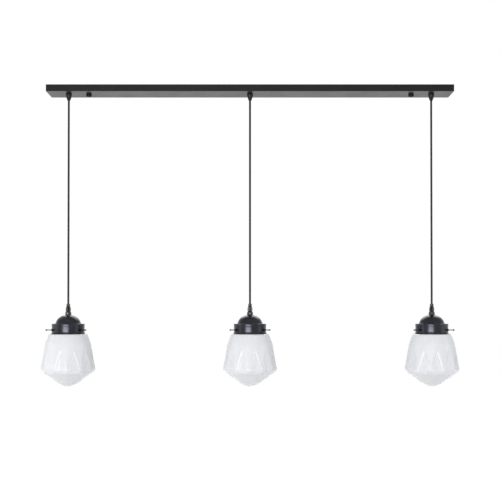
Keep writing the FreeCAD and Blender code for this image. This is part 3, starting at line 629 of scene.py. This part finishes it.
def gallery_outline(sizes):
    """Outline of the spun cap: up the outside from the flared edge, over the dome and back inside."""
    flange_z = BAND_BOTTOM_Z + sizes.band_height
    sheet = sizes.sheet
    foot = sizes.dome - 0.6 * MM  # where the dome meets its fillet
    skirt = foot + 2.5 * MM  # where the fillet meets the flange
    seat = sizes.hole + 5.75 * MM  # edge of the flat on which the clamp stands

    def dome(across, rise, start, end):
        """Elliptic arc over the flange, from one radius to another."""
        first, last = math.acos(start / across), math.acos(end / across)
        turns = [first + (last - first) * k / 16 for k in range(17)]
        return [(across * math.cos(t), flange_z + rise * math.sin(t)) for t in turns]

    outer = dome(sizes.dome, sizes.dome_height, foot, seat)
    inner = dome(sizes.dome - sheet, sizes.dome_height - sheet, seat - sheet, foot - sheet)
    step_z = flange_z - sizes.lip_height
    return smoothed([
        (sizes.band + sizes.flare - sheet / 2, BAND_BOTTOM_Z),
        (sizes.band + sizes.flare, BAND_BOTTOM_Z, 0.25 * MM),
        (sizes.band + sizes.flare, BAND_BOTTOM_Z + 0.8 * MM, 0.5 * MM),
        (sizes.band, BAND_BOTTOM_Z + sizes.flare_height, 5 * MM),
        (sizes.band, step_z - 0.6 * MM, 0.6 * MM),
        (sizes.band + sizes.lip, step_z + 0.6 * MM, 0.6 * MM),
        (sizes.band + sizes.lip, flange_z, 1.6 * MM), (skirt, flange_z, 1.2 * MM), *outer,
        (sizes.hole, outer[-1][1], 0.2 * MM), (sizes.hole, inner[0][1], 0.2 * MM), *inner,
        (skirt - sheet, flange_z - sheet, 1.2 * MM),
        (sizes.band - sheet, flange_z - sheet, 1.0 * MM),
        (sizes.band - sheet, BAND_BOTTOM_Z + sizes.flare_height, 5 * MM),
        (sizes.band + sizes.flare - sheet, BAND_BOTTOM_Z, 0.25 * MM)], step=12.0)


def add_bosses(bm, sizes):
    """Bushes pressed through the band, one round each thumb screw."""
    near, far = sizes.band - 2.6 * MM, sizes.band + sizes.boss_stand
    bore = 1.55 * MM  # just clear of the thread
    for mark in SCREW_MARKS:
        before = set(bm.verts)
        line = smoothed([(sizes.boss, (near + far) / 2), (sizes.boss, far, 0.6 * MM),
                         (bore, far, 0.3 * MM), (bore, near), (sizes.boss, near)])
        lathe(bm, line, BOSS_STEPS, closed=True)
        verts = [v for v in bm.verts if v not in before]
        pointed(bm, verts, screw_angle(mark), centre("middle_thumb_screw_" + mark).z)


class PENDANT_OT_galleries(bpy.types.Operator):
    """Spun galleries with a dome, a step and a flared band"""
    bl_idname = "pendant.galleries"
    bl_label = "Galleries"

    def execute(self, context):
        sizes = context.scene.pendant_gallery
        metal = spun_black_metal("spun_black_plated_steel", context.scene.pendant_colours.gallery)
        bm = bmesh.new()
        lathe(bm, gallery_outline(sizes), GALLERY_STEPS, closed=True)
        add_bosses(bm, sizes)
        soften(bm)
        for side in SIDES:
            finish_piece(bm, side + "_gallery_cap", metal, side + "_lamp",
                         [side + "_gallery"], LAMP_X[side])
        bm.free()
        return {"FINISHED"}


def screw_thread(bm, sizes, start, end):
    """Ridge of a screw thread, wound along Z round a core, whose radius it gives."""
    depth = 0.5 * sizes.pitch
    core = sizes.shank - depth
    turns = int((end - start) / sizes.pitch) - 1
    low = start + 0.3 * sizes.pitch
    corners = [bm.verts.new(place) for place in ((core, 0, low), (sizes.shank, 0, low + depth / 2),
                                                 (core, 0, low + depth))]
    face = bm.faces.new(corners)
    bmesh.ops.spin(bm, geom=[face] + corners + list(face.edges), cent=(0, 0, 0), axis=(0, 0, 1),
                   dvec=(0, 0, sizes.pitch / THREAD_STEPS), angle=math.tau * turns,
                   steps=THREAD_STEPS * turns)
    return core


class PENDANT_OT_thumb_screws(bpy.types.Operator):
    """Thumb screws with a thread and a fluted knob"""
    bl_idname = "pendant.thumb_screws"
    bl_label = "Thumb screws"

    def execute(self, context):
        sizes = context.scene.pendant_screw
        plate = plated_metal("black_plated_screw", context.scene.pendant_colours.gallery, 0.22, 0.34)
        # Screw c lies along Y, so its box says how far from the axis each one starts and ends.
        low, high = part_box("middle_thumb_screw_c")
        tip, end = low.y, high.y
        knob_start = end - sizes.knob_length
        for mark in SCREW_MARKS:
            bm = bmesh.new()
            core = screw_thread(bm, sizes, tip + 1 * MM, knob_start - 1 * MM)
            shank_end = knob_start + 1 * MM
            shank = smoothed([(0, tip), (core * 0.7, tip, 0.2 * MM), (core, tip + 0.4 * MM, 0.2 * MM),
                              (core, shank_end), (0, shank_end)])
            lathe(bm, shank, SHANK_STEPS)
            before = set(bm.verts)
            knob = smoothed([(0, knob_start), (sizes.knob, knob_start, 0.5 * MM),
                             (sizes.knob, end, 1.4 * MM), (0, end)])
            lathe(bm, divided(knob, knob_start, end, KNOB_STEP), 4 * sizes.flutes)
            for vert in set(bm.verts) - before:
                radius = math.hypot(vert.co.x, vert.co.y)
                if radius > 0.9 * sizes.knob:
                    turn = math.atan2(vert.co.y, vert.co.x) * sizes.flutes
                    cut = 1 - FLUTE_DEPTH * max(0.0, math.cos(turn))
                    vert.co.x *= cut
                    vert.co.y *= cut
            pointed(bm, bm.verts, screw_angle(mark), centre("middle_thumb_screw_" + mark).z)
            soften(bm)
            for side in SIDES:
                name = f"{side}_thumb_screw_{mark}"
                finish_piece(bm, f"{side}_fluted_screw_{mark}", plate, name,
                             [name], LAMP_X[side])
            bm.free()
        return {"FINISHED"}


# ---- finishes of the pieces that stay as they are -----------------------------------
class PENDANT_OT_finishes(bpy.types.Operator):
    """Finish of every piece whose shape comes straight from the frame"""
    bl_idname = "pendant.finishes"
    bl_label = "Finishes"

    def execute(self, context):
        colours = context.scene.pendant_colours
        by_slot = {
            "satin_black_coat": satin_powder_coat("polyester_powder_coat", colours.coat),
            "bronze_black_coat": satin_powder_coat("gallery_base_coat", colours.gallery),
            "bright_nickel": plated_metal("bright_nickel_plate", colours.nickel, 0.28, 0.4),
            "zinc_plate": plated_metal("bright_zinc_plate", colours.zinc, 0.28, 0.42),
            "opal_glass": opal_glass("opal_glass_body", colours.glass),
            "black_cord": extruded_sheath("sheath_in_bar", colours.sheath),
            "black_moulding": moulded_plastic("phenolic_moulding", linear("#101011"), 0.14, 0.22),
            "brass": plated_metal("pressed_brass", linear("#c8a44e"), 0.22, 0.35),
            "bulb_white": moulded_plastic("frosted_bulb", linear("#e9e8e2"), 0.4, 0.5),
            "terminal_white": moulded_plastic("terminal_nylon", linear("#dfdbcb"), 0.4, 0.55),
            "live_brown": moulded_plastic("brown_insulation", linear("#5c3317"), 0.35, 0.45),
            "neutral_blue": moulded_plastic("blue_insulation", linear("#2459a8"), 0.35, 0.45),
            "earth_green_yellow": striped_insulation("green_yellow_insulation", linear("#2f8a3a"),
                                                     linear("#d8c72f")),
        }
        enamel = gloss_enamel("stoved_black_enamel", colours.coat)
        for part in frame["record"]["subparts"]:
            node = frame["nodes"][part["node"]]
            for slot in node.material_slots:
                cast = part["node"].endswith("cord_clamp")
                slot.material = enamel if cast else by_slot[part["material_slot"]]
        return {"FINISHED"}


# ---- stage --------------------------------------------------------------------------
def soft_box(name, place, across, up, power):
    """Large oblong lamp that faces the middle of the pendant's lamps."""
    lamp = bpy.data.lights.new(name, "AREA")
    lamp.shape = "RECTANGLE"
    lamp.size, lamp.size_y = across, up
    lamp.energy = power
    made = bpy.data.objects.new(name, lamp)
    made.location = place
    made.rotation_euler = (Vector(LAMPS_MIDDLE) - Vector(place)).to_track_quat("-Z", "Y").to_euler()
    bpy.context.scene.collection.objects.link(made)


def seen_or_mirrored(tree):
    """1 for what the camera, a polished surface or glass looks at, and 0 for light on things."""
    rays = add(tree, "ShaderNodeLightPath").outputs
    first = add(tree, "ShaderNodeMath", {0: rays["Is Camera Ray"], 1: rays["Is Glossy Ray"]},
                operation="MAXIMUM")
    return add(tree, "ShaderNodeMath", {0: first.outputs[0], 1: rays["Is Transmission Ray"]},
               operation="MAXIMUM").outputs[0]


class PENDANT_OT_stage(bpy.types.Operator):
    """White surroundings, pale floor, soft lamps and the camera"""
    bl_idname = "pendant.stage"
    bl_label = "Stage"

    def execute(self, context):
        stage = context.scene.pendant_stage
        scene = context.scene
        scene.view_settings.view_transform = "Standard"
        world = bpy.data.worlds.new("white_surroundings")
        world.use_nodes = True
        tree = world.node_tree
        tree.nodes.clear()
        strength = add(tree, "ShaderNodeMapRange", {"Value": seen_or_mirrored(tree),
                                                    "To Min": stage.level, "To Max": 1.0}).outputs[0]
        sky = add(tree, "ShaderNodeBackground", {"Color": (1, 1, 1, 1), "Strength": strength})
        add(tree, "ShaderNodeOutputWorld", {"Surface": sky.outputs[0]})
        scene.world = world

        bm = bmesh.new()
        bmesh.ops.create_circle(bm, cap_ends=True, segments=96, radius=FLOOR_RADIUS)
        bmesh.ops.translate(bm, verts=bm.verts, vec=(0, 0, stage.floor_z))
        mesh = bpy.data.meshes.new("pale_floor")
        bm.to_mesh(mesh)
        bm.free()
        floor = bpy.data.objects.new("pale_floor", mesh)
        scene.collection.objects.link(floor)
        material, tree = new_material("pale_floor")
        diffuse = add(tree, "ShaderNodeBsdfDiffuse", {"Color": FLOOR_GREY})
        glow = add(tree, "ShaderNodeEmission", {"Strength": seen_or_mirrored(tree)})
        both = add(tree, "ShaderNodeAddShader", {0: diffuse.outputs[0], 1: glow.outputs[0]})
        add(tree, "ShaderNodeOutputMaterial", {"Surface": both.outputs[0]})
        mesh.materials.append(material)

        for name, place, across, up, setting in SOFT_BOXES:
            soft_box(name, place, across, up, getattr(stage, setting))

        lens = bpy.data.cameras.new("camera")
        lens.lens = stage.lens
        lens.sensor_width = SENSOR_WIDTH
        lens.shift_y = stage.rise
        lens.clip_end = FAR_CLIP
        camera = bpy.data.objects.new("camera", lens)
        camera.location = (0, -stage.distance, stage.height)
        camera.rotation_euler = (math.pi / 2 + stage.tilt, 0, 0)
        scene.collection.objects.link(camera)
        scene.camera = camera
        return {"FINISHED"}


class PENDANT_PT_panel(bpy.types.Panel):
    """Sizes, colours and steps of the pendant"""
    bl_label = "Pendant"
    bl_idname = "PENDANT_PT_panel"
    bl_space_type = "VIEW_3D"
    bl_region_type = "UI"
    bl_category = "Pendant"

    def draw(self, context):
        for name in GROUPS:
            box = self.layout.box()
            settings = getattr(context.scene, name)
            for key in settings.bl_rna.properties.keys():
                if key not in {"rna_type", "name"}:
                    box.prop(settings, key)
        for operator in STEPS:
            self.layout.operator(operator.bl_idname)


GROUPS = {"pendant_glass": PendantGlass, "pendant_gallery": PendantGallery,
          "pendant_screw": PendantScrew, "pendant_cord": PendantCord,
          "pendant_colours": PendantColours, "pendant_stage": PendantStage}
STEPS = (PENDANT_OT_cords, PENDANT_OT_finishes, PENDANT_OT_shades, PENDANT_OT_galleries,
         PENDANT_OT_thumb_screws, PENDANT_OT_stage)


def register():
    """Adds the settings, the steps and the panel to Blender."""
    for group in GROUPS.values():
        bpy.utils.register_class(group)
    for made in (*STEPS, PENDANT_PT_panel):
        bpy.utils.register_class(made)
    for name, group in GROUPS.items():
        setattr(bpy.types.Scene, name, PointerProperty(type=group))


def unregister():
    """Takes them out again."""
    for name in GROUPS:
        delattr(bpy.types.Scene, name)
    for made in (PENDANT_PT_panel, *STEPS, *GROUPS.values()):
        bpy.utils.unregister_class(made)


def main():
    """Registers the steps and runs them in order."""
    register()
    for step in STEPS:
        group, name = step.bl_idname.split(".")
        getattr(getattr(bpy.ops, group), name)()


if __name__ == "__main__":
    main()
